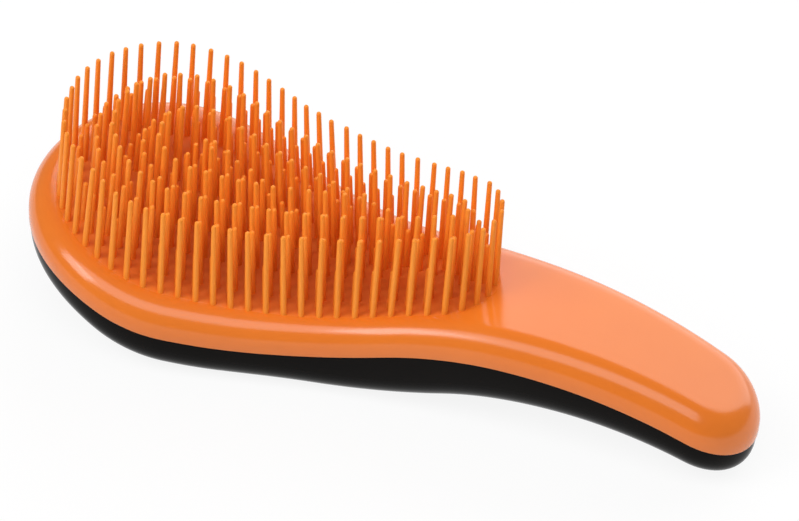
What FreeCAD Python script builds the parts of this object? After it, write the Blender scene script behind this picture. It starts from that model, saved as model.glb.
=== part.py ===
import FreeCAD, Part
import math
import os
import Sketcher

# Detangling brush: a pear-shaped hollow body in two moulded shells with a field of tapered bristles.
# +X runs from the head to the handle, +Y across, +Z along the bristles; sketches start at the head end.
# The brush lies on its back: the flat land under the head is at Z = 0.

doc = FreeCAD.newDocument("detangling_brush")
Vector = FreeCAD.Vector

# Driving dimensions in millimetres and degrees
SIZES = (
    ("overall_length", 185.0, "head end to handle end"),
    ("head_radius", 37.7, "round head seen from above"),
    ("end_radius", 14.0, "round handle end seen from above"),
    ("flank_angle", 4.7, "taper of the handle's straight flanks, in degrees"),
    ("neck_from_head", 98.4, "corner where the lines of shoulder and flank would meet"),
    ("neck_blend", 28.6, "reach of the hollow neck curve along each line from that corner"),
    ("dish_from_head", 64.5, "lowest line of the dished head"),
    ("crest_from_end", 52.0, "highest line of the arched handle"),
    ("wave_radius", 122.0, "side view of the face: brow, dish and crest"),
    ("rim_height", 8.2, "face above the parting line"),
    ("rim_radius", 6.2, "rounding round the face"),
    ("back_depth", 11.2, "parting line above the back, at the dish"),
    ("back_radius", 8.0, "rounding round the back"),
    ("land_start", 62.0, "resting land under the head, near end"),
    ("land_end", 83.0, "resting land under the head, far end"),
    ("toe_radius", 98.6, "side view of the back at the head end"),
    ("arch_lag", 9.0, "highest line under the handle, beyond the crest of the face"),
    ("arch_radius", 103.3, "side view of the back under the handle"),
    ("wall", 2.4, "moulded wall of both shells"),
    ("reveal", 0.35, "step of the back shell behind the front shell's edge"),
    ("tongue_wall", 1.1, "thickness of the back shell's locating tongue"),
    ("tongue_height", 2.5, "reach of the tongue into the front shell"),
    ("tongue_gap", 0.15, "clearance round the tongue"),
    ("field_inset", 7.4, "outer bristle row from the body's outline"),
    ("field_neck", 104.0, "centre of the field's round end at the neck"),
    ("row_spacing", 3.2, "bristle row to bristle row round the head"),
    ("row_drift", 0.64, "shift of each row's round towards the handle from the row outside it"),
    ("bristle_pitch", 4.2, "bristle to bristle along a row"),
    ("row_stagger", 0.67, "share of the pitch by which short and medium rows are set along"),
    ("bank_stagger", 0.38, "share of the pitch by which each set of three rows is set along"),
    ("root_radius", 0.8, "bristle at the face"),
    ("tip_radius", 0.6, "domed bristle tip"),
    ("long_bristle", 23.0, "long bristle above the face"),
    ("medium_bristle", 18.4, "medium bristle above the face"),
    ("short_bristle", 11.4, "short bristle above the face"),
    ("bristle_gap", 0.3, "least air between two bristle roots"),
)

sheet = doc.addObject("Spreadsheet::Sheet", "Sizes")
for row, (alias, value, note) in enumerate(SIZES, start=1):
    sheet.set(f"A{row}", alias)
    sheet.set(f"B{row}", str(value))
    sheet.setAlias(f"B{row}", alias)
    sheet.set(f"C{row}", note)
doc.recompute()


class Measure:
    """A number together with the sheet expression that it comes from."""

    def __init__(self, number, text):
        self.number = number
        self.text = text

    def __add__(self, other):
        other = measure(other)
        return Measure(self.number + other.number, f"({self.text} + {other.text})")

    def __sub__(self, other):
        other = measure(other)
        return Measure(self.number - other.number, f"({self.text} - {other.text})")

    def __mul__(self, other):
        other = measure(other)
        return Measure(self.number * other.number, f"({self.text} * {other.text})")

    def __truediv__(self, other):
        other = measure(other)
        return Measure(self.number / other.number, f"({self.text} / {other.text})")

    def __neg__(self):
        return Measure(-self.number, f"(0 - {self.text})")


def measure(value):
    return value if isinstance(value, Measure) else Measure(float(value), str(value))


class Sizes:
    """Every sheet alias as an attribute that is a Measure."""


size = Sizes()
for alias, value, note in SIZES:
    setattr(size, alias, Measure(float(sheet.get(alias)), f"Sizes.{alias}"))

ZERO = measure(0)
MARGIN = size.end_radius
START, END, CENTRE = range(1, 4)
AXIS, ORIGIN, UPRIGHT = -1, -1, -2


def sine(angle):
    return Measure(math.sin(math.radians(angle.number)), f"sin({angle.text} * 1 deg)")


def cosine(angle):
    return Measure(math.cos(math.radians(angle.number)), f"cos({angle.text} * 1 deg)")


def tangent(angle):
    return sine(angle) / cosine(angle)


def slant(across, along):
    """Angle in degrees of a line that goes across and along by these amounts."""
    angle = math.degrees(math.atan(across.number / along.number))
    return Measure(angle, f"(atan({across.text} / {along.text}) / 1 deg)")


def square_root(square):
    return Measure(math.sqrt(square.number), f"sqrt({square.text})")


def wave_rise(radius, run):
    """Height between two lines of a wave of equal arcs that are run apart."""
    return radius * 2 - square_root(radius * radius * 4 - run * run)


# The shoulders run from the head's round to the neck's corner, which lies on the flank's line
end_x = size.overall_length - size.end_radius
flank_y = size.end_radius / cosine(size.flank_angle)
corner_y = flank_y + (end_x - size.neck_from_head) * tangent(size.flank_angle)
corner_run = size.neck_from_head - size.head_radius
corner_square = corner_run * corner_run + corner_y * corner_y
corner_reach = square_root(corner_square - size.head_radius * size.head_radius)
shoulder_angle = slant(size.head_radius, corner_reach) - slant(corner_y, corner_run)
neck_radius = size.neck_blend / tangent((shoulder_angle - size.flank_angle) / 2)

# The face and the parting line share one wave, and the back has a flatter one
crest_x = size.overall_length - size.crest_from_end
crest_run = crest_x - size.dish_from_head
crest_rise = wave_rise(size.wave_radius, crest_run)
brow_rise = wave_rise(size.wave_radius, size.dish_from_head)
toe_rise = wave_rise(size.toe_radius, size.land_start)
arch_x = crest_x + size.arch_lag
arch_run = arch_x - size.land_end
arch_rise = wave_rise(size.arch_radius, arch_run)
face_level = size.back_depth + size.rim_height
top_level = face_level + size.overall_length
floor_level = -size.overall_length


def on_plane(body, name, role):
    sketch = body.newObject("Sketcher::SketchObject", name)
    plane = next(item for item in body.Origin.OriginFeatures if item.Role == role)
    sketch.AttachmentSupport = [(plane, "")]
    sketch.MapMode = "FlatFace"
    return sketch


def drive(sketch, name, kind, places, value, angle=False):
    """Add a dimension to the sketch and bind it to the sheet."""
    start_value = math.radians(value.number) if angle else value.number
    index = sketch.addConstraint(Sketcher.Constraint(kind, *places, start_value))
    sketch.renameConstraint(index, name)
    sketch.setExpression(f"Constraints.{name}", value.text)


def tie(sketch, kind, *places):
    sketch.addConstraint(Sketcher.Constraint(kind, *places))


def arc(sketch, centre, radius, start_angle, end_angle):
    circle = Part.Circle(Vector(*centre, 0), Vector(0, 0, 1), radius)
    return sketch.addGeometry(Part.ArcOfCircle(circle, start_angle, end_angle))


def line(sketch, start, end):
    return sketch.addGeometry(Part.LineSegment(Vector(*start, 0), Vector(*end, 0)))


def plan_points(inset):
    """Tangent points of the upper half of the outline, moved in by inset."""
    shoulder = math.radians(shoulder_angle.number)
    flank = math.radians(size.flank_angle.number)
    head_r = size.head_radius.number
    end_r = size.end_radius.number
    head_tangent = (head_r + (head_r - inset) * math.sin(shoulder), (head_r - inset) * math.cos(shoulder))
    end_tangent = (end_x.number + (end_r - inset) * math.sin(flank), (end_r - inset) * math.cos(flank))
    fall = math.tan(shoulder) - math.tan(flank)
    rise = head_tangent[1] + head_tangent[0] * math.tan(shoulder)
    corner_x = (rise - end_tangent[1] - end_tangent[0] * math.tan(flank)) / fall
    corner_y = rise - corner_x * math.tan(shoulder)
    reach = (neck_radius.number + inset) * math.tan((shoulder - flank) / 2)
    neck_start = (corner_x - reach * math.cos(shoulder), corner_y + reach * math.sin(shoulder))
    neck_end = (corner_x + reach * math.cos(flank), corner_y - reach * math.sin(flank))
    return head_tangent, neck_start, neck_end, end_tangent


def mirrored(point):
    return point[0], -point[1]


def draw_plan(body, name, inset):
    """The pear-shaped outline: head arc, shoulders, neck arcs, flanks and end arc."""
    sketch = on_plane(body, name, "XY_Plane")
    shoulder = math.radians(shoulder_angle.number)
    flank = math.radians(size.flank_angle.number)
    head_r = size.head_radius - inset
    end_r = size.end_radius - inset
    neck_r = neck_radius + inset
    head_tangent, neck_start, neck_end, end_tangent = plan_points(inset.number)
    neck_centre = (
        neck_start[0] + neck_r.number * math.sin(shoulder),
        neck_start[1] + neck_r.number * math.cos(shoulder),
    )
    quarter = math.pi / 2
    head_centre = (size.head_radius.number, 0)
    head = arc(sketch, head_centre, head_r.number, quarter - shoulder, 3 * quarter + shoulder)
    end = arc(sketch, (end_x.number, 0), end_r.number, flank - quarter, quarter - flank)
    upper_shoulder = line(sketch, head_tangent, neck_start)
    upper_neck = arc(sketch, neck_centre, neck_r.number, 3 * quarter - shoulder, 3 * quarter - flank)
    upper_flank = line(sketch, neck_end, end_tangent)
    lower_shoulder = line(sketch, mirrored(head_tangent), mirrored(neck_start))
    lower_neck = arc(sketch, mirrored(neck_centre), neck_r.number, quarter + flank, quarter + shoulder)
    lower_flank = line(sketch, mirrored(neck_end), mirrored(end_tangent))
    tie(sketch, "Tangent", head, START, upper_shoulder, START)
    tie(sketch, "Tangent", upper_shoulder, END, upper_neck, START)
    tie(sketch, "Tangent", upper_neck, END, upper_flank, START)
    tie(sketch, "Tangent", upper_flank, END, end, END)
    tie(sketch, "Tangent", head, END, lower_shoulder, START)
    tie(sketch, "Tangent", lower_shoulder, END, lower_neck, END)
    tie(sketch, "Tangent", lower_neck, START, lower_flank, START)
    tie(sketch, "Tangent", lower_flank, END, end, START)
    tie(sketch, "PointOnObject", head, CENTRE, AXIS)
    tie(sketch, "PointOnObject", end, CENTRE, AXIS)
    tie(sketch, "Equal", upper_neck, lower_neck)
    drive(sketch, "head_x", "DistanceX", (ORIGIN, START, head, CENTRE), size.head_radius)
    drive(sketch, "end_x", "DistanceX", (ORIGIN, START, end, CENTRE), end_x)
    drive(sketch, "head_r", "Radius", (head,), head_r)
    drive(sketch, "end_r", "Radius", (end,), end_r)
    drive(sketch, "neck_r", "Radius", (upper_neck,), neck_r)
    drive(sketch, "upper_shoulder", "Angle", (upper_shoulder,), -shoulder_angle, angle=True)
    drive(sketch, "lower_shoulder", "Angle", (lower_shoulder,), shoulder_angle, angle=True)
    drive(sketch, "upper_flank", "Angle", (upper_flank,), -size.flank_angle, angle=True)
    drive(sketch, "lower_flank", "Angle", (lower_flank,), size.flank_angle, angle=True)
    return sketch


def close_region(sketch, left, right, level):
    """Close a curve from its left end to its right end with a box that reaches level."""
    left_edge, left_point, left_place = left
    right_edge, right_point, right_place = right
    right_side = line(sketch, right_point, (right_point[0], level.number))
    far_side = line(sketch, (right_point[0], level.number), (left_point[0], level.number))
    left_side = line(sketch, (left_point[0], level.number), left_point)
    tie(sketch, "Coincident", right_edge, right_place, right_side, START)
    tie(sketch, "Coincident", right_side, END, far_side, START)
    tie(sketch, "Coincident", far_side, END, left_side, START)
    tie(sketch, "Coincident", left_side, END, left_edge, left_place)
    tie(sketch, "Vertical", right_side)
    tie(sketch, "Vertical", left_side)
    tie(sketch, "Horizontal", far_side)
    drive(sketch, "far_level", "DistanceY", (ORIGIN, START, far_side, START), level)
    drive(sketch, "left_x", "DistanceX", (left_edge, left_place, ORIGIN, START), MARGIN)
    right_x = size.overall_length + MARGIN
    drive(sketch, "right_x", "DistanceX", (ORIGIN, START, right_edge, right_place), right_x)


def swing(radius, offset):
    """Angle of a point on an arc whose place along X is offset from the arc's centre."""
    return math.asin(offset / radius)


def draw_face_wave(body, name, level, far_level):
    """Region between far_level and the face's wave: a brow at the head end, the dish and the crest."""
    sketch = on_plane(body, name, "XZ_Plane")
    radius = size.wave_radius.number
    dish_x = size.dish_from_head.number
    right_x = size.overall_length.number + MARGIN.number
    turn = swing(radius, crest_run.number / 2)
    brow_turn = swing(radius, dish_x / 2)
    left_turn = swing(radius, MARGIN.number)
    right_turn = swing(radius, right_x - crest_x.number)
    brow_centre = (0, level.number + brow_rise.number - radius)
    dish_centre = (dish_x, level.number + radius)
    crest_centre = (crest_x.number, level.number + crest_rise.number - radius)
    quarter = math.pi / 2
    brow = arc(sketch, brow_centre, radius, quarter - brow_turn, quarter + left_turn)
    dish = arc(sketch, dish_centre, radius, 3 * quarter - brow_turn, 3 * quarter + turn)
    crest = arc(sketch, crest_centre, radius, quarter - right_turn, quarter + turn)
    tie(sketch, "Tangent", brow, START, dish, START)
    tie(sketch, "Tangent", dish, END, crest, END)
    tie(sketch, "Equal", brow, dish)
    tie(sketch, "Equal", dish, crest)
    tie(sketch, "PointOnObject", brow, CENTRE, UPRIGHT)
    drive(sketch, "wave_r", "Radius", (dish,), size.wave_radius)
    drive(sketch, "dish_x", "DistanceX", (ORIGIN, START, dish, CENTRE), size.dish_from_head)
    drive(sketch, "dish_z", "DistanceY", (ORIGIN, START, dish, CENTRE), level + size.wave_radius)
    drive(sketch, "crest_x", "DistanceX", (ORIGIN, START, crest, CENTRE), crest_x)
    left_point = (-MARGIN.number, brow_centre[1] + radius * math.cos(left_turn))
    right_point = (right_x, crest_centre[1] + radius * math.cos(right_turn))
    close_region(sketch, (brow, left_point, END), (crest, right_point, START), far_level)
    return sketch


def draw_back_wave(body, name, level):
    """Region under the back: the levelled toe and its sweep, the resting land and the arch of the handle."""
    sketch = on_plane(body, name, "XZ_Plane")
    toe_r = size.toe_radius.number
    radius = size.arch_radius.number
    right_x = size.overall_length.number + MARGIN.number
    left_turn = swing(toe_r, MARGIN.number)
    toe_turn = swing(toe_r, size.land_start.number / 2)
    turn = swing(radius, arch_run.number / 2)
    right_turn = swing(radius, right_x - arch_x.number)
    toe_centre = (0, level.number + toe_rise.number - toe_r)
    sweep_centre = (size.land_start.number, level.number + toe_r)
    hollow_centre = (size.land_end.number, level.number + radius)
    arch_centre = (arch_x.number, level.number + arch_rise.number - radius)
    quarter = math.pi / 2
    toe = arc(sketch, toe_centre, toe_r, quarter - toe_turn, quarter + left_turn)
    sweep = arc(sketch, sweep_centre, toe_r, 3 * quarter - toe_turn, 3 * quarter)
    land = line(sketch, (sweep_centre[0], level.number), (hollow_centre[0], level.number))
    hollow = arc(sketch, hollow_centre, radius, 3 * quarter, 3 * quarter + turn)
    arch = arc(sketch, arch_centre, radius, quarter - right_turn, quarter + turn)
    tie(sketch, "Tangent", toe, START, sweep, START)
    tie(sketch, "Tangent", sweep, END, land, START)
    tie(sketch, "Tangent", land, END, hollow, START)
    tie(sketch, "Tangent", hollow, END, arch, END)
    tie(sketch, "Equal", toe, sweep)
    tie(sketch, "Equal", hollow, arch)
    tie(sketch, "Horizontal", land)
    tie(sketch, "PointOnObject", toe, CENTRE, UPRIGHT)
    drive(sketch, "toe_r", "Radius", (sweep,), size.toe_radius)
    drive(sketch, "arch_r", "Radius", (hollow,), size.arch_radius)
    drive(sketch, "sweep_x", "DistanceX", (ORIGIN, START, sweep, CENTRE), size.land_start)
    drive(sketch, "sweep_z", "DistanceY", (ORIGIN, START, sweep, CENTRE), level + size.toe_radius)
    drive(sketch, "hollow_x", "DistanceX", (ORIGIN, START, hollow, CENTRE), size.land_end)
    drive(sketch, "arch_x", "DistanceX", (ORIGIN, START, arch, CENTRE), arch_x)
    left_point = (-MARGIN.number, toe_centre[1] + toe_r * math.cos(left_turn))
    right_point = (right_x, arch_centre[1] + radius * math.cos(right_turn))
    close_region(sketch, (toe, left_point, END), (arch, right_point, START), floor_level)
    return sketch


def cut_away(body, name, profile):
    """Cut a side-view region right across the body."""
    before = body.Shape.Volume
    pocket = body.newObject("PartDesign::Pocket", name)
    pocket.Profile = profile
    pocket.Type = "ThroughAll"
    pocket.Midplane = True
    doc.recompute()
    if not body.Shape.Volume < before:
        raise RuntimeError(f"{body.Label}: {name} cuts nothing")


def pear_block(name, inset):
    """A body that is the outline, moved in by inset, as a tall block."""
    body = doc.addObject("PartDesign::Body", name)
    pad = body.newObject("PartDesign::Pad", f"{name}_block")
    pad.Profile = draw_plan(body, f"{name}_plan", inset)
    pad.Midplane = True
    pad.setExpression("Length", size.overall_length.text)
    doc.recompute()
    return body


def middle(edge):
    return edge.valueAt((edge.FirstParameter + edge.LastParameter) / 2)


def face_wave(x):
    """Height of the face's wave above its dish, and its slope as an angle."""
    radius = size.wave_radius.number
    dish_x = size.dish_from_head.number
    if x < dish_x / 2:
        slope = swing(radius, -x)
        return brow_rise.number - radius * (1 - math.cos(slope)), slope
    if x < dish_x + crest_run.number / 2:
        slope = swing(radius, x - dish_x)
        return radius * (1 - math.cos(slope)), slope
    slope = swing(radius, crest_x.number - x)
    return crest_rise.number - radius * (1 - math.cos(slope)), slope


def height_over_seam(edge):
    point = middle(edge)
    height, slope = face_wave(point.x)
    return point.z - size.back_depth.number - height


def follows_outline(edge):
    """True for an edge that runs round the body, not straight up or straight across it."""
    return edge.BoundBox.XLength > 1e-4


def round_edges(body, name, radius, lowest, highest):
    """Round the edges that run round the body between two heights over the parting line."""
    base = body.Tip
    edges = [
        f"Edge{number}"
        for number, edge in enumerate(base.Shape.Edges, start=1)
        if follows_outline(edge) and lowest < height_over_seam(edge) < highest
    ]
    fillet = body.newObject("PartDesign::Fillet", name)
    fillet.Base = (base, edges)
    fillet.setExpression("Radius", radius.text)
    doc.recompute()


def rounded_body(name, inset, skin):
    """The whole brush body in one piece, moved in by inset at the sides and by skin above and below."""
    body = pear_block(name, inset)
    cut_away(body, f"{name}_over", draw_face_wave(body, f"{name}_face", face_level - skin, top_level))
    cut_away(body, f"{name}_under", draw_back_wave(body, f"{name}_back", skin))
    far = size.overall_length.number
    round_edges(body, f"{name}_back_edge", size.back_radius - skin, -far, 0)
    round_edges(body, f"{name}_rim", size.rim_radius - skin, size.rim_height.number / 2, far)
    return body


def combine(kind, name, base, tool):
    result = doc.addObject(kind, name)
    result.Base = base
    result.Tool = tool
    doc.recompute()
    return result


# Cavity that both shells enclose
cavity = rounded_body("cavity", size.wall, size.wall)

# Front shell: everything above the parting line, with a rebate inside its edge for the tongue
tongue_inset = size.wall - size.tongue_wall
front_hull = rounded_body("front_hull", ZERO, ZERO)
below_seam = draw_face_wave(front_hull, "front_hull_seam", size.back_depth, floor_level)
cut_away(front_hull, "front_hull_parting", below_seam)
rebate = pear_block("rebate", tongue_inset - size.tongue_gap)
rebate_level = size.back_depth + size.tongue_height + size.tongue_gap
cut_away(rebate, "rebate_over", draw_face_wave(rebate, "rebate_top", rebate_level, top_level))
front_hollow = combine("Part::Cut", "front_hollow", front_hull, cavity)
front_shell = combine("Part::Cut", "front_shell", front_hollow, rebate)

# Back shell: everything below the parting line, a step inside the front, with the locating tongue
back_hull = rounded_body("back_hull", size.reveal, ZERO)
above_seam = draw_face_wave(back_hull, "back_hull_seam", size.back_depth, top_level)
cut_away(back_hull, "back_hull_parting", above_seam)
tongue = pear_block("tongue", tongue_inset)
tongue_top = size.back_depth + size.tongue_height
tongue_root = size.back_depth - size.tongue_height
cut_away(tongue, "tongue_over", draw_face_wave(tongue, "tongue_top", tongue_top, top_level))
cut_away(tongue, "tongue_under", draw_face_wave(tongue, "tongue_root", tongue_root, floor_level))
back_block = combine("Part::Fuse", "back_block", back_hull, tongue)
back_shell = combine("Part::Cut", "back_shell", back_block, cavity)

# Bristles: closed rows that follow the outline, none nearer to another than this
least_spacing = size.root_radius * 2 + size.bristle_gap


def half_width(x):
    """Half width of the body's outline at the neck and handle."""
    head_tangent, neck_start, neck_end, end_tangent = plan_points(0)
    if x < neck_start[0]:
        return head_tangent[1] - (x - head_tangent[0]) * math.tan(math.radians(shoulder_angle.number))
    if x > neck_end[0]:
        return end_tangent[1] + (end_tangent[0] - x) * math.tan(math.radians(size.flank_angle.number))
    shoulder = math.radians(shoulder_angle.number)
    centre_x = neck_start[0] + neck_radius.number * math.sin(shoulder)
    centre_y = neck_start[1] + neck_radius.number * math.cos(shoulder)
    return centre_y - math.sqrt(neck_radius.number**2 - (x - centre_x) ** 2)


def row_runs(head_run, side_run, half_run, stagger):
    """Bristle places along half a row: at the pitch down the side, and evenly round both ends."""
    pitch = size.bristle_pitch.number
    first = head_run + stagger * pitch
    count = int(max(side_run - stagger * pitch, 0.0) / pitch)
    last = first + count * pitch
    runs = [first + index * pitch for index in range(count + 1)]
    for start, span, way in ((first, first, -1), (last, half_run - last, 1)):
        halves = max(round(2 * span / pitch), 1)
        step = 2 * span / halves
        runs += [start + way * index * step for index in range(1, halves // 2 + 1)]
    return runs


def row_places(row):
    """Bristle places on one closed row: a round head end, two straight sides and a round neck end."""
    outer_x = size.head_radius.number
    neck_x = size.field_neck.number
    inset = size.field_inset.number
    outer_head = outer_x - inset
    outer_neck = half_width(neck_x) - inset
    taper = math.asin((outer_head - outer_neck) / (neck_x - outer_x))
    head_x = outer_x + row * size.row_drift.number
    head_r = outer_head - row * size.row_spacing.number
    neck_r = max(outer_neck - row * size.row_spacing.number, 0.0)
    head_run = head_r * (math.pi / 2 + taper)
    side_run = (head_r - neck_r) / math.tan(taper)
    half_run = head_run + side_run + neck_r * (math.pi / 2 - taper)
    neck_centre = head_x + (head_r - neck_r) / math.sin(taper)
    stagger = (row // 3 * size.bank_stagger.number + min(row % 3, 1) * size.row_stagger.number) % 1
    places = []
    for run in row_runs(head_run, side_run, half_run, stagger):
        if run < head_run:
            angle = math.pi - run / head_r
            x, y = head_x + head_r * math.cos(angle), head_r * math.sin(angle)
        elif run < head_run + side_run:
            along = run - head_run
            x = head_x + head_r * math.sin(taper) + along * math.cos(taper)
            y = head_r * math.cos(taper) - along * math.sin(taper)
        else:
            angle = (half_run - run) / neck_r if neck_r else 0.0
            x, y = neck_centre + neck_r * math.cos(angle), neck_r * math.sin(angle)
        places += [(x, y), (x, -y)] if 2 * y >= least_spacing.number else [(x, 0.0)]
    return places


def bristle_field():
    """Bristle places by length: rows repeat long, short, medium from the outside in."""
    groups = {"long": [], "short": [], "medium": []}
    order = ("long", "short", "medium")
    depth = size.head_radius.number - size.field_inset.number - size.root_radius.number
    taken = []
    for row in range(int(depth / size.row_spacing.number) + 1):
        for place in row_places(row):
            if all(math.dist(place, other) >= least_spacing.number for other in taken):
                taken.append(place)
                groups[order[row % 3]].append(place)
    return groups


def bristle(height, slope):
    """One bristle on the origin: a slim cone with a domed tip and a foot cut to the slope of the face."""
    root = size.root_radius.number
    tip = size.tip_radius.number
    shoulder = height - tip
    foot = root + (root - tip) * root / shoulder
    dome_point = Vector(tip * math.cos(math.pi / 4), 0, shoulder + tip * math.sin(math.pi / 4))
    edges = [
        Part.LineSegment(Vector(0, 0, -root), Vector(foot, 0, -root)).toShape(),
        Part.LineSegment(Vector(foot, 0, -root), Vector(tip, 0, shoulder)).toShape(),
        Part.Arc(Vector(tip, 0, shoulder), dome_point, Vector(0, 0, height)).toShape(),
        Part.LineSegment(Vector(0, 0, height), Vector(0, 0, -root)).toShape(),
    ]
    cone = Part.Face(Part.Wire(edges)).revolve(Vector(0, 0, 0), Vector(0, 0, 1), 360)
    reach = 4 * root
    face = Part.makeBox(2 * reach, 2 * reach, reach, Vector(-reach, -reach, -reach))
    face.rotate(Vector(0, 0, 0), Vector(0, 1, 0), -math.degrees(slope))
    return cone.cut(face).Solids[0]


def bristle_group(name, places, height):
    """All bristles of one length, each a solid of its own that stands on the face."""
    copies = []
    for x, y in places:
        rise, slope = face_wave(x)
        copy = bristle(height.number, slope)
        copy.translate(Vector(x, y, face_level.number + rise))
        copies.append(copy)
    group = doc.addObject("Part::Feature", name)
    group.Shape = Part.makeCompound(copies)
    return group


groups = bristle_field()
bristles_long = bristle_group("bristles_long", groups["long"], size.long_bristle)
bristles_medium = bristle_group("bristles_medium", groups["medium"], size.medium_bristle)
bristles_short = bristle_group("bristles_short", groups["short"], size.short_bristle)

# The origin goes to the middle of the brush, and every sub-part is tested before anything is written
subparts = (front_shell, back_shell, bristles_long, bristles_medium, bristles_short)
for item in subparts:
    item.setExpression("Placement.Base.x", (-size.overall_length / 2).text)
doc.recompute()
for item in doc.Objects:
    if any(word in item.State for word in ("Invalid", "Error")):
        raise RuntimeError(f"{item.Label} failed: {item.State}")
for item in subparts:
    if item.Shape.isNull() or not item.Shape.isValid():
        raise RuntimeError(f"{item.Label} has no valid shape")

os.makedirs("parts", exist_ok=True)
for item in subparts:
    item.Shape.exportStep(os.path.join("parts", f"{item.Label}.step"))
    print(item.Label, len(item.Shape.Solids), "solids", round(item.Shape.Volume / 1000, 2), "cm3")
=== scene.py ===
import math

import bmesh
import bpy
from mathutils import Matrix, Vector


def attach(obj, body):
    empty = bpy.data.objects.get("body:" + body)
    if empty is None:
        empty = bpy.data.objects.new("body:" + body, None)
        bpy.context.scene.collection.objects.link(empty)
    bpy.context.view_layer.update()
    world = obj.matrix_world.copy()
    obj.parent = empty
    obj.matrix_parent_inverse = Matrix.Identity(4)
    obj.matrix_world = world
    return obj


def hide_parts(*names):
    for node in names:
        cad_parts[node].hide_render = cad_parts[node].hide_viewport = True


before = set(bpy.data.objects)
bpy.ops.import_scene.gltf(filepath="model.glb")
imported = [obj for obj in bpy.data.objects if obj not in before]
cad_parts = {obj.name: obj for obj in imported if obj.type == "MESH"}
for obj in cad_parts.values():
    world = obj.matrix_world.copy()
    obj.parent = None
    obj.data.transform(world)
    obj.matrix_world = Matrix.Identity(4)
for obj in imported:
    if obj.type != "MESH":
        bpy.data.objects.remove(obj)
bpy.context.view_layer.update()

# Detangling brush on its back: orange front shell, black back shell and three lengths of orange bristle.
# Sizes are in millimetres, along X from the head end, and become metres about the brush's middle in place().

MM = 0.001

# Outline seen from above
OVERALL_LENGTH = 185.0
HEAD_RADIUS = 37.7
END_RADIUS = 14.0
END_CENTRE = OVERALL_LENGTH - END_RADIUS
FLANK_ANGLE = math.radians(4.7)
NECK_FROM_HEAD = 98.4
NECK_BLEND = 28.6

# Side view of the face and of the back
DISH_X = 64.5
CREST_X = OVERALL_LENGTH - 52.0
WAVE_RADIUS = 122.0
LAND_START = 62.0
LAND_END = 83.0
TOE_RADIUS = 98.6
ARCH_X = OVERALL_LENGTH - 43.0
ARCH_RADIUS = 103.3

# Walls; the back shell is stepped in by the reveal at the parting line
BACK_DEPTH = 11.2
RIM_HEIGHT = 8.2
RIM_RADIUS = 6.2
BACK_RADIUS = 8.0
WALL = 2.4
REVEAL = 0.35
EDGE_ROUND = 0.4

# Bristle field, in closed rows from the outside in; each row's head end drifts towards the handle, and the
# staggers are shares of the pitch, within a bank of three rows and from one bank to the next
FIELD_INSET = 7.4
FIELD_NECK = 104.0
FIELD_FADE = 2.0
ROW_SPACING = 3.2
ROW_DRIFT = 0.64
ROW_STAGGER = 0.67
BANK_STAGGER = 0.38
BRISTLE_PITCH = 4.2
ROOT_RADIUS = 0.8
TIP_RADIUS = 0.6
BRISTLE_GAP = 0.3
LEAST_SPACING = 2 * ROOT_RADIUS + BRISTLE_GAP
BRISTLE_LENGTHS = {"long": 23.0, "medium": 18.4, "short": 11.4}
ROW_ORDER = ("long", "short", "medium")

# The roots reach a little into the face, so that no gap opens under a bristle that leans
SUNK_ROOT = 0.4

# Lean of the bristles, as sideways run for one of height: a sway along the head, a draw inwards, a stray part
SWAY = 0.055
SWAY_CENTRE = 43.0
SWAY_HALF_WAVE = 52.0
DRAW_IN = 0.06
STRAY = 0.012
FIRST_SEED = 7

# Mesh fineness
OUTLINE_STEP = 1.5
ROUND_STEPS = 12
EDGE_STEPS = 4
FILL_STEPS = 16
FIELD_STEPS = 20
BRISTLE_SIDES = 10
TIP_RINGS = 6
MERGE_DISTANCE = 0.002
SHELL_CREASE = math.radians(40)
BRISTLE_CREASE = math.radians(60)


# Shape of the body


def place(x, y, z):
    """A point in millimetres from the head end, as metres in the frame."""
    return Vector(((x - OVERALL_LENGTH / 2) * MM, y * MM, z * MM))


def wave_rise(radius, run):
    """Height between two neighbouring lines of a wave of equal arcs that are run apart."""
    return 2 * radius - math.sqrt(4 * radius**2 - run**2)


def arc_drop(radius, offset):
    """How far an arc has fallen from its top at a sideways offset."""
    return radius - math.sqrt(radius**2 - offset**2)


def face_wave(x):
    """Height of the face and of the parting line above their dish: brow, dish and crest."""
    if x < DISH_X / 2:
        return wave_rise(WAVE_RADIUS, DISH_X) - arc_drop(WAVE_RADIUS, x)
    if x < (DISH_X + CREST_X) / 2:
        return arc_drop(WAVE_RADIUS, x - DISH_X)
    return wave_rise(WAVE_RADIUS, CREST_X - DISH_X) - arc_drop(WAVE_RADIUS, x - CREST_X)


def back_wave(x):
    """Height of the back: toe, sweep, resting land, hollow and arch."""
    if x < LAND_START / 2:
        return wave_rise(TOE_RADIUS, LAND_START) - arc_drop(TOE_RADIUS, x)
    if x < LAND_START:
        return arc_drop(TOE_RADIUS, x - LAND_START)
    if x < LAND_END:
        return 0.0
    if x < (LAND_END + ARCH_X) / 2:
        return arc_drop(ARCH_RADIUS, x - LAND_END)
    return wave_rise(ARCH_RADIUS, ARCH_X - LAND_END) - arc_drop(ARCH_RADIUS, x - ARCH_X)


def neck_shape():
    """Angle of the shoulders, and the place of the corner that the neck curve rounds."""
    corner_y = END_RADIUS / math.cos(FLANK_ANGLE) + (END_CENTRE - NECK_FROM_HEAD) * math.tan(FLANK_ANGLE)
    run = NECK_FROM_HEAD - HEAD_RADIUS
    reach = math.sqrt(run**2 + corner_y**2 - HEAD_RADIUS**2)
    return math.atan2(HEAD_RADIUS, reach) - math.atan2(corner_y, run), corner_y


def step_off(start, distance, turn):
    """The point that lies a distance from start, at an angle from Y."""
    return start[0] + distance * math.sin(turn), start[1] + distance * math.cos(turn)


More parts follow.
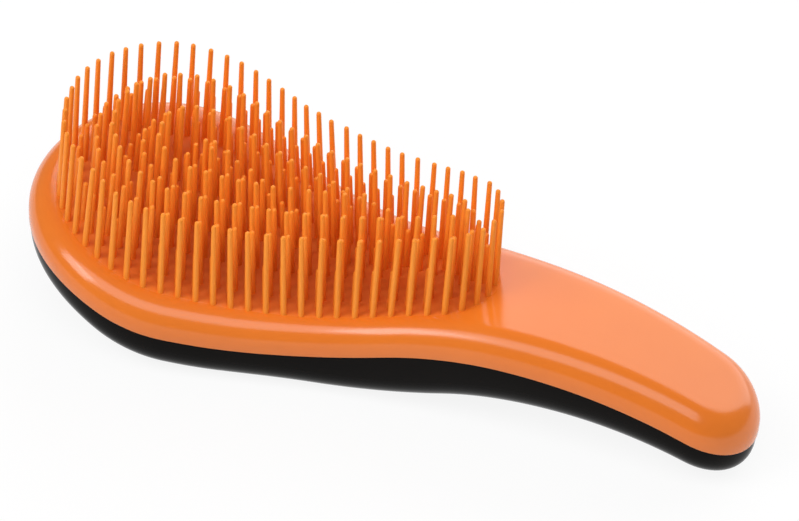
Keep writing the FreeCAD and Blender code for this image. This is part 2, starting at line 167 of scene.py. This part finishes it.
def arc_points(centre, radius, first, last):
    """Points along an arc, without its last, each with its turn; a hollow arc has a negative radius."""
    steps = math.ceil(abs(last - first) * abs(radius) / OUTLINE_STEP)
    turns = [first + (last - first) * step / steps for step in range(steps)]
    return [(*step_off(centre, radius, turn), turn) for turn in turns]


def line_points(start, end, turn):
    """Points along a straight stretch, without its last."""
    steps = math.ceil(math.dist(start, end) / OUTLINE_STEP)
    points = []
    for step in range(steps):
        share = step / steps
        points.append((start[0] + (end[0] - start[0]) * share, start[1] + (end[1] - start[1]) * share, turn))
    return points


def half_outline():
    """Points from the head end to the handle end on one side, each with its outward normal's angle from Y."""
    quarter = math.pi / 2
    shoulder, corner_y = neck_shape()
    corner = (NECK_FROM_HEAD, corner_y)
    neck_radius = NECK_BLEND / math.tan((shoulder - FLANK_ANGLE) / 2)
    neck_start = step_off(corner, NECK_BLEND, shoulder - quarter)
    neck_end = step_off(corner, NECK_BLEND, FLANK_ANGLE + quarter)
    neck_centre = step_off(neck_start, neck_radius, shoulder)
    head_centre, end_centre = (HEAD_RADIUS, 0), (END_CENTRE, 0)
    points = arc_points(head_centre, HEAD_RADIUS, -quarter, shoulder)
    points += line_points(step_off(head_centre, HEAD_RADIUS, shoulder), neck_start, shoulder)
    points += arc_points(neck_centre, -neck_radius, shoulder, FLANK_ANGLE)
    points += line_points(neck_end, step_off(end_centre, END_RADIUS, FLANK_ANGLE), FLANK_ANGLE)
    points += arc_points(end_centre, END_RADIUS, FLANK_ANGLE, quarter)
    points.append((OVERALL_LENGTH, 0.0, quarter))
    return points


def full_outline():
    """The closed outline: place, outward normal and the spine point that the face is filled towards."""
    upper = [(x, y, math.sin(turn), math.cos(turn)) for x, y, turn in half_outline()]
    lower = [(x, -y, nx, -ny) for x, y, nx, ny in reversed(upper[1:-1])]
    outline = []
    for x, y, nx, ny in upper + lower:
        spine = x - nx * y / ny if abs(ny) > 1e-6 else x
        outline.append((x, y, nx, ny, min(max(spine, HEAD_RADIUS), END_CENTRE)))
    return outline


# Skins of the shells


def ring(outline, inset, height):
    """One closed row of points, moved in from the outline; height gives Z from X."""
    row = []
    for x, y, nx, ny, spine in outline:
        px, py = x - inset * nx, y - inset * ny
        row.append(place(px, py, height(px)))
    return row


def fill_rings(outline, inset, height):
    """Rows from the inset outline to the spine."""
    rows = []
    for step in range(1, FILL_STEPS + 1):
        share = step / FILL_STEPS
        row = []
        for x, y, nx, ny, spine in outline:
            px = (x - inset * nx) * (1 - share) + spine * share
            row.append(place(px, (y - inset * ny) * (1 - share), height(px)))
        rows.append(row)
    return rows


def front_level(rise):
    """Height from X of a surface that lies a rise above the parting line."""
    return lambda x: BACK_DEPTH + face_wave(x) + rise


def back_level(rise):
    """Height from X of a surface that lies a rise above the back."""
    return lambda x: back_wave(x) + rise


def front_skin(outline, skin):
    """Rows of one side of the front shell, from its straight wall over the rim to the spine."""
    radius = RIM_RADIUS - skin
    rows = []
    for step in range(ROUND_STEPS + 1):
        turn = math.pi / 2 * step / ROUND_STEPS
        inset = skin + radius * (1 - math.cos(turn))
        rows.append(ring(outline, inset, front_level(RIM_HEIGHT - RIM_RADIUS + radius * math.sin(turn))))
    return rows + fill_rings(outline, RIM_RADIUS, front_level(RIM_HEIGHT - skin))


def back_skin(outline, skin):
    """Rows of one side of the back shell, from its straight wall round the back edge to the spine."""
    radius = BACK_RADIUS - skin
    rows = []
    for step in range(ROUND_STEPS + 1):
        turn = math.pi / 2 * step / ROUND_STEPS
        inset = REVEAL + skin + radius * (1 - math.cos(turn))
        rows.append(ring(outline, inset, back_level(BACK_RADIUS - radius * math.sin(turn))))
    return rows + fill_rings(outline, REVEAL + BACK_RADIUS, back_level(skin))


def edge_rows(outline, inset, way):
    """Rounded edge at the parting line, from the flat lip to the wall; way is 1 for up and -1 for down."""
    rows = []
    for step in range(EDGE_STEPS + 1):
        turn = math.pi / 2 * step / EDGE_STEPS
        inward = inset + EDGE_ROUND * (1 - math.sin(turn))
        rows.append(ring(outline, inward, front_level(way * EDGE_ROUND * (1 - math.cos(turn)))))
    return rows


def shell_mesh(name, rows):
    """A closed skin through the rows, whose first and last rows lie on the spine."""
    work = bmesh.new()
    verts = [[work.verts.new(point) for point in row] for row in rows]
    count = len(rows[0])
    for lower, upper in zip(verts, verts[1:]):
        for index in range(count):
            after = (index + 1) % count
            work.faces.new((lower[index], lower[after], upper[after], upper[index]))
    bmesh.ops.remove_doubles(work, verts=work.verts, dist=MERGE_DISTANCE * MM)
    bmesh.ops.recalc_face_normals(work, faces=work.faces)
    mesh = bpy.data.meshes.new(name)
    work.to_mesh(mesh)
    work.free()
    mesh.shade_smooth()
    mesh.set_sharp_from_angle(angle=SHELL_CREASE)
    return mesh


# Places of the bristles


def half_width(x):
    """Half width of the body at a place on its neck."""
    near = [(abs(px - x), py) for px, py, turn in half_outline() if px > HEAD_RADIUS]
    return min(near)[1]


def field_radii():
    """Radii of the outermost row of bristles round the head and round the neck."""
    return HEAD_RADIUS - FIELD_INSET, half_width(FIELD_NECK) - FIELD_INSET


def row_runs(head_run, side_run, half_run, stagger):
    """Bristle places along half a row: at the pitch down the side, and evenly round both ends."""
    first = head_run + stagger * BRISTLE_PITCH
    count = int(max(side_run - stagger * BRISTLE_PITCH, 0.0) / BRISTLE_PITCH)
    last = first + count * BRISTLE_PITCH
    runs = [first + index * BRISTLE_PITCH for index in range(count + 1)]
    for start, span, way in ((first, first, -1), (last, half_run - last, 1)):
        halves = max(round(2 * span / BRISTLE_PITCH), 1)
        step = 2 * span / halves
        runs += [start + way * index * step for index in range(1, halves // 2 + 1)]
    return runs


def row_places(row):
    """Bristle places on one closed row: a round head end, two straight sides and a round neck end."""
    outer_head, outer_neck = field_radii()
    taper = math.asin((outer_head - outer_neck) / (FIELD_NECK - HEAD_RADIUS))
    head_x = HEAD_RADIUS + row * ROW_DRIFT
    head_r = outer_head - row * ROW_SPACING
    neck_r = max(outer_neck - row * ROW_SPACING, 0.0)
    head_run = head_r * (math.pi / 2 + taper)
    side_run = (head_r - neck_r) / math.tan(taper)
    half_run = head_run + side_run + neck_r * (math.pi / 2 - taper)
    neck_centre = head_x + (head_r - neck_r) / math.sin(taper)
    bank, row_in_bank = divmod(row, len(ROW_ORDER))
    stagger = (bank * BANK_STAGGER + min(row_in_bank, 1) * ROW_STAGGER) % 1
    places = []
    for run in row_runs(head_run, side_run, half_run, stagger):
        if run < head_run:
            angle = math.pi - run / head_r
            x, y = head_x + head_r * math.cos(angle), head_r * math.sin(angle)
        elif run < head_run + side_run:
            along = run - head_run
            x = head_x + head_r * math.sin(taper) + along * math.cos(taper)
            y = head_r * math.cos(taper) - along * math.sin(taper)
        else:
            angle = (half_run - run) / neck_r if neck_r else 0.0
            x, y = neck_centre + neck_r * math.cos(angle), neck_r * math.sin(angle)
        places += [(x, y), (x, -y)] if 2 * y >= LEAST_SPACING else [(x, 0.0)]
    return places


def bristle_places():
    """Places by length: the rows repeat long, short and medium from the outside in."""
    groups = {length: [] for length in ROW_ORDER}
    rows = int((HEAD_RADIUS - FIELD_INSET - ROOT_RADIUS) / ROW_SPACING) + 1
    taken = []
    for row in range(rows):
        for spot in row_places(row):
            if all(math.dist(spot, other) >= LEAST_SPACING for other in taken):
                taken.append(spot)
                groups[ROW_ORDER[row % len(ROW_ORDER)]].append(spot)
    return groups


def lean(x, y):
    """Direction of a bristle: it sways along the head and is drawn in a little towards the middle line."""
    along = min(x - SWAY_CENTRE, SWAY_HALF_WAVE)
    sway = -SWAY * math.sin(math.pi * along / SWAY_HALF_WAVE)
    return sway, -DRAW_IN * y / HEAD_RADIUS, 1.0


def root_points(name, spots):
    """A mesh of bare points on the face, each with the lean of its bristle."""
    mesh = bpy.data.meshes.new(name)
    level = BACK_DEPTH + RIM_HEIGHT - SUNK_ROOT
    mesh.from_pydata([place(x, y, level + face_wave(x)) for x, y in spots], [], [])
    aims = mesh.attributes.new("lean", "FLOAT_VECTOR", "POINT")
    for item, (x, y) in zip(aims.data, spots):
        item.vector = lean(x, y)
    return mesh


def mark_field(mesh):
    """Mark the face among the bristles, from 0 outside their outermost row to 1 inside it."""
    head_radius, neck_radius = field_radii()
    mask = mesh.attributes.new("among_bristles", "FLOAT", "POINT")
    for item, vertex in zip(mask.data, mesh.vertices):
        x, y = vertex.co.x / MM + OVERALL_LENGTH / 2, vertex.co.y / MM
        # Circles that sweep from the head to the neck stand for the field
        depths = []
        for step in range(FIELD_STEPS + 1):
            share = step / FIELD_STEPS
            centre = HEAD_RADIUS + (FIELD_NECK - HEAD_RADIUS) * share
            depths.append(head_radius + (neck_radius - head_radius) * share - math.hypot(x - centre, y))
        item.value = min(max(0.5 + max(depths) / FIELD_FADE, 0.0), 1.0)


# Nodes


def add_node(tree, kind, inputs=None, **settings):
    """Add a node, set its properties, then set its inputs or link them."""
    node = tree.nodes.new(kind)
    for name, value in settings.items():
        setattr(node, name, value)
    for key, value in (inputs or {}).items():
        if isinstance(value, bpy.types.NodeSocket):
            tree.links.new(value, node.inputs[key])
        else:
            node.inputs[key].default_value = value
    return node


def bristle_tree():
    """Geometry nodes that stand one tapered bristle with a domed tip on every root point."""
    tree = bpy.data.node_groups.new("bristle_field", "GeometryNodeTree")
    tree.interface.new_socket("Roots", in_out="INPUT", socket_type="NodeSocketGeometry")
    for name in ("Length", "Root Radius", "Tip Radius", "Stray"):
        tree.interface.new_socket(name, in_out="INPUT", socket_type="NodeSocketFloat")
    tree.interface.new_socket("Seed", in_out="INPUT", socket_type="NodeSocketInt")
    tree.interface.new_socket("Material", in_out="INPUT", socket_type="NodeSocketMaterial")
    tree.interface.new_socket("Bristles", in_out="OUTPUT", socket_type="NodeSocketGeometry")
    given = add_node(tree, "NodeGroupInput").outputs

    # The hull of a disc at the root and a ball at the tip is the whole bristle
    root_size = {"Vertices": BRISTLE_SIDES, "Radius": given["Root Radius"]}
    disc = add_node(tree, "GeometryNodeMeshCircle", root_size)
    tip_size = {"Segments": BRISTLE_SIDES, "Rings": TIP_RINGS, "Radius": given["Tip Radius"]}
    ball = add_node(tree, "GeometryNodeMeshUVSphere", tip_size)
    heights = {0: given["Length"], 1: given["Tip Radius"]}
    level = add_node(tree, "ShaderNodeMath", heights, operation="SUBTRACT")
    lift = add_node(tree, "ShaderNodeCombineXYZ", {"Z": level.outputs[0]})
    raised = {"Geometry": ball.outputs[0], "Translation": lift.outputs[0]}
    tip = add_node(tree, "GeometryNodeTransform", raised)
    ends = add_node(tree, "GeometryNodeJoinGeometry", {"Geometry": disc.outputs[0]})
    tree.links.new(tip.outputs[0], ends.inputs["Geometry"])
    bristle = add_node(tree, "GeometryNodeConvexHull", {"Geometry": ends.outputs[0]})
    smooth = add_node(tree, "GeometryNodeSetShadeSmooth", {"Geometry": bristle.outputs[0]})

    # Every bristle follows the lean that its root point carries, and strays from it a little
    aim = add_node(tree, "GeometryNodeInputNamedAttribute", {"Name": "lean"}, data_type="FLOAT_VECTOR")
    chance = {"Min": (-1, -1, 0), "Max": (1, 1, 0), "Seed": given["Seed"]}
    dice = add_node(tree, "FunctionNodeRandomValue", chance, data_type="FLOAT_VECTOR")
    throw = {0: dice.outputs[0], "Scale": given["Stray"]}
    stray = add_node(tree, "ShaderNodeVectorMath", throw, operation="SCALE")
    parts = {0: aim.outputs[0], 1: stray.outputs[0]}
    path = add_node(tree, "ShaderNodeVectorMath", parts, operation="ADD")
    turn = add_node(tree, "FunctionNodeAlignRotationToVector", {"Vector": path.outputs[0]}, axis="Z")
    stand = {"Points": given["Roots"], "Instance": smooth.outputs[0], "Rotation": turn.outputs[0]}
    field = add_node(tree, "GeometryNodeInstanceOnPoints", stand)
    real = add_node(tree, "GeometryNodeRealizeInstances", {"Geometry": field.outputs[0]})
    finish = {"Geometry": real.outputs[0], "Material": given["Material"]}
    finished = add_node(tree, "GeometryNodeSetMaterial", finish)
    add_node(tree, "NodeGroupOutput", {0: finished.outputs[0]})
    return tree


# Pieces


def add_piece(name, mesh, material, node):
    """A finished piece that stands for one CAD node and moves with the brush."""
    piece = bpy.data.objects.new(name, mesh)
    bpy.context.scene.collection.objects.link(piece)
    mesh.materials.clear()
    mesh.materials.append(material)
    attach(piece, "root")
    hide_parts(node)


def make_front_shell(material):
    """Orange shell: dished face, rounded rim and arched handle top, hollow inside."""
    outline = full_outline()
    inner = list(reversed(front_skin(outline, WALL)))
    lip = [ring(outline, WALL, front_level(0))]
    rows = inner + lip + edge_rows(outline, 0, 1) + front_skin(outline, 0)
    mesh = shell_mesh("orange_front_shell", rows)
    mark_field(mesh)
    add_piece("orange_front_shell", mesh, material, "front_shell")


def make_back_shell(material):
    """Black shell: swept back with its resting land, hollow inside."""
    outline = full_outline()
    inner = list(reversed(back_skin(outline, WALL)))
    lip = [ring(outline, REVEAL + WALL, front_level(0))]
    rows = inner + lip + edge_rows(outline, REVEAL, -1) + back_skin(outline, 0)
    mesh = shell_mesh("black_back_shell", rows)
    add_piece("black_back_shell", mesh, material, "back_shell")


def make_bristles(material):
    """Orange bristles, one piece for each length."""
    tree = bristle_tree()
    for seed, (length, spots) in enumerate(bristle_places().items(), start=FIRST_SEED):
        name = f"orange_bristles_{length}"
        holder = bpy.data.objects.new(f"{length}_roots", root_points(f"{length}_roots", spots))
        bpy.context.scene.collection.objects.link(holder)
        field = holder.modifiers.new("bristle_field", "NODES")
        field.node_group = tree
        values = {
            "Length": (BRISTLE_LENGTHS[length] + SUNK_ROOT) * MM,
            "Root Radius": ROOT_RADIUS * MM,
            "Tip Radius": TIP_RADIUS * MM,
            "Stray": STRAY,
            "Seed": seed,
            "Material": material,
        }
        for item in tree.interface.items_tree:
            if item.name in values:
                field[item.identifier] = values[item.name]
        evaluated = holder.evaluated_get(bpy.context.evaluated_depsgraph_get())
        mesh = bpy.data.meshes.new_from_object(evaluated)
        mesh.name = name
        mesh.set_sharp_from_angle(angle=BRISTLE_CREASE)
        bpy.data.objects.remove(holder)
        add_piece(name, mesh, material, f"bristles_{length}")


# Materials

# Sockets of the Mix node for colours, which share their names with those for numbers
MIX_A, MIX_B, MIX_RESULT = 6, 7, 2

# Refraction of ABS and nylon, and the ripple of a moulded skin, with its depth in millimetres
PLASTIC_IOR = 1.53
RIPPLE_DEPTH = 0.02
RIPPLE_STRENGTH = 0.5


def colour(text):
    """Linear colour from an sRGB hex value."""
    parts = [int(text[at : at + 2], 16) / 255 for at in (1, 3, 5)]
    linear = [part / 12.92 if part <= 0.04045 else ((part + 0.055) / 1.055) ** 2.4 for part in parts]
    return (*linear, 1.0)


def per_mm(size):
    """Texture scale whose features are about size millimetres across, on coordinates in metres."""
    return 1.0 / (size * MM)


def moulded_plastic(name, dark, light, mottle, ripple, gloss, **constants):
    """Moulded plastic: faint flow mottle in the colour, uneven gloss and a slight ripple of the skin."""
    material = bpy.data.materials.new(name)
    material.use_nodes = True
    tree = material.node_tree
    shader = tree.nodes["Principled BSDF"]
    where = add_node(tree, "ShaderNodeTexCoord").outputs["Object"]

    flow_size = {"Vector": where, "Scale": per_mm(mottle), "Detail": 3.0}
    flow = add_node(tree, "ShaderNodeTexNoise", flow_size)
    mix = {0: flow.outputs["Fac"], MIX_A: colour(dark), MIX_B: colour(light)}
    tint = add_node(tree, "ShaderNodeMix", mix, data_type="RGBA")
    tree.links.new(tint.outputs[MIX_RESULT], shader.inputs["Base Color"])

    smear_size = {"Vector": where, "Scale": per_mm(mottle / 3), "Detail": 4.0}
    smear = add_node(tree, "ShaderNodeTexNoise", smear_size)
    sheen = {"Value": smear.outputs["Fac"], "To Min": gloss[0], "To Max": gloss[1]}
    rough = add_node(tree, "ShaderNodeMapRange", sheen)
    tree.links.new(rough.outputs["Result"], shader.inputs["Roughness"])

    skin_size = {"Vector": where, "Scale": per_mm(ripple), "Detail": 1.0}
    skin = add_node(tree, "ShaderNodeTexNoise", skin_size)
    relief = {"Height": skin.outputs["Fac"], "Strength": RIPPLE_STRENGTH, "Distance": RIPPLE_DEPTH * MM}
    bump = add_node(tree, "ShaderNodeBump", relief)
    tree.links.new(bump.outputs["Normal"], shader.inputs["Normal"])

    for socket, value in constants.items():
        shader.inputs[socket.replace("_", " ")].default_value = value
    return material


def dull_among_bristles(material, extra):
    """Rougher face among the bristles, where the mould can't be polished."""
    tree = material.node_tree
    roughness = tree.nodes["Principled BSDF"].inputs["Roughness"]
    polished = roughness.links[0].from_socket
    field = add_node(tree, "ShaderNodeAttribute", attribute_name="among_bristles")
    dull = {0: field.outputs["Fac"], 1: extra, 2: polished}
    rough = add_node(tree, "ShaderNodeMath", dull, operation="MULTIPLY_ADD")
    tree.links.new(rough.outputs[0], roughness)


def gloss_orange_abs():
    # Injection-moulded orange ABS from a polished mould: saturated, with broad pale reflections
    material = moulded_plastic(
        "gloss_orange_abs",
        dark="#E0711D",
        light="#EA7D27",
        mottle=30,
        ripple=5.0,
        gloss=(0.16, 0.22),
        IOR=PLASTIC_IOR,
    )
    dull_among_bristles(material, extra=0.4)
    return material


def moulded_black_abs():
    # Injection-moulded black ABS: deep black that mirrors its surroundings only at a glancing angle
    return moulded_plastic(
        "moulded_black_abs",
        dark="#0B0908",
        light="#110E0C",
        mottle=30,
        ripple=5.0,
        gloss=(0.14, 0.20),
        IOR=PLASTIC_IOR,
        Specular_IOR_Level=0.06,
    )


def satin_orange_nylon():
    # Moulded orange nylon: satin, slightly paler than the shell and a little translucent
    return moulded_plastic(
        "satin_orange_nylon",
        dark="#F48D2A",
        light="#FB9A38",
        mottle=12,
        ripple=3.0,
        gloss=(0.36, 0.46),
        IOR=PLASTIC_IOR,
        Specular_IOR_Level=0.2,
        Subsurface_Weight=0.1,
        Subsurface_Radius=(1.0, 0.7, 0.4),
        Subsurface_Scale=1.2 * MM,
    )


# Studio, in metres and watts

# The floor lies a hair under the brush, so that it never shares a plane with the resting land
FLOOR_REACH = 4.0
FLOOR_LEVEL = -0.05 * MM
FLOOR_GLOW = 0.88
AIR_STRENGTH = 0.22

# Place, width, depth and power of each softbox
LIGHT_AIM = Vector((0, 0, 0.02))
SOFTBOXES = {
    "key_softbox": ((-0.55, -0.55, 0.75), 0.5, 0.5, 4.0),
    "front_strip": ((0.10, -0.44, 0.92), 1.3, 0.62, 6.2),
    "back_softbox": ((0.10, 0.95, 0.50), 1.6, 1.0, 11.5),
}


def white_paper():
    """Paper that looks white to the camera and in reflections, and keeps a part of the brush's shadow."""
    material = bpy.data.materials.new("white_paper_sweep")
    material.use_nodes = True
    tree = material.node_tree
    tree.nodes.clear()
    paper = add_node(tree, "ShaderNodeBsdfDiffuse", {"Color": colour("#F4F4F4")})
    glow = add_node(tree, "ShaderNodeEmission", {"Color": (1, 1, 1, 1), "Strength": 1.0})
    ray = add_node(tree, "ShaderNodeLightPath").outputs
    looks = {0: ray["Is Camera Ray"], 1: ray["Is Glossy Ray"]}
    direct = add_node(tree, "ShaderNodeMath", looks, operation="MAXIMUM")
    looks_through = {0: direct.outputs[0], 1: ray["Is Transmission Ray"]}
    seen = add_node(tree, "ShaderNodeMath", looks_through, operation="MAXIMUM")
    share = add_node(tree, "ShaderNodeMath", {0: seen.outputs[0], 1: FLOOR_GLOW}, operation="MULTIPLY")
    blend = {0: share.outputs[0], 1: paper.outputs[0], 2: glow.outputs[0]}
    mix = add_node(tree, "ShaderNodeMixShader", blend)
    add_node(tree, "ShaderNodeOutputMaterial", {"Surface": mix.outputs[0]})
    return material


def make_floor():
    """A wide plain floor."""
    mesh = bpy.data.meshes.new("studio_floor")
    signs = ((-1, -1), (1, -1), (1, 1), (-1, 1))
    corners = [(sx * FLOOR_REACH, sy * FLOOR_REACH, FLOOR_LEVEL) for sx, sy in signs]
    mesh.from_pydata(corners, [], [(0, 1, 2, 3)])
    mesh.materials.append(white_paper())
    floor = bpy.data.objects.new("studio_floor", mesh)
    bpy.context.scene.collection.objects.link(floor)


def make_lights():
    """Softboxes that all aim at the brush."""
    for name, (spot, width, depth, watts) in SOFTBOXES.items():
        data = bpy.data.lights.new(name, "AREA")
        data.shape = "RECTANGLE"
        data.size, data.size_y = width, depth
        data.energy = watts
        light = bpy.data.objects.new(name, data)
        light.location = spot
        light.rotation_euler = (LIGHT_AIM - Vector(spot)).to_track_quat("-Z", "Y").to_euler()
        bpy.context.scene.collection.objects.link(light)


def make_world():
    """Even white air, as a weak fill."""
    world = bpy.data.worlds.new("studio_air")
    world.use_nodes = True
    tree = world.node_tree
    tree.nodes.clear()
    air = add_node(tree, "ShaderNodeBackground", {"Color": (1, 1, 1, 1), "Strength": AIR_STRENGTH})
    add_node(tree, "ShaderNodeOutputWorld", {"Surface": air.outputs[0]})
    bpy.context.scene.world = world


def make_camera():
    """Camera at the photograph's angle, fitted to the parting line, the bristles and the handle."""
    azimuth, elevation, roll = math.radians(21.51), math.radians(41.25), math.radians(4.16)
    distance, focal_pixels, image_width = 0.9, 3830.8, 799
    target = Vector((0.0010, 0.0, 0.02743))
    flat = Vector((math.cos(azimuth), math.sin(azimuth), 0))
    away = Vector((math.sin(azimuth), -math.cos(azimuth), 0))
    back = away * math.cos(elevation) + Vector((0, 0, math.sin(elevation)))
    steep = back.cross(flat)
    right = flat * math.cos(roll) + steep * math.sin(roll)
    up = steep * math.cos(roll) - flat * math.sin(roll)
    data = bpy.data.cameras.new("photo_camera")
    data.sensor_width = 36.0
    data.lens = focal_pixels * data.sensor_width / image_width
    camera = bpy.data.objects.new("photo_camera", data)
    turned = Matrix((right, up, back)).transposed().to_4x4()
    camera.matrix_world = Matrix.Translation(target + back * distance) @ turned
    bpy.context.scene.collection.objects.link(camera)
    bpy.context.scene.camera = camera


make_front_shell(gloss_orange_abs())
make_back_shell(moulded_black_abs())
make_bristles(satin_orange_nylon())
make_floor()
make_world()
make_lights()
make_camera()
bpy.context.scene.view_settings.view_transform = "Standard"
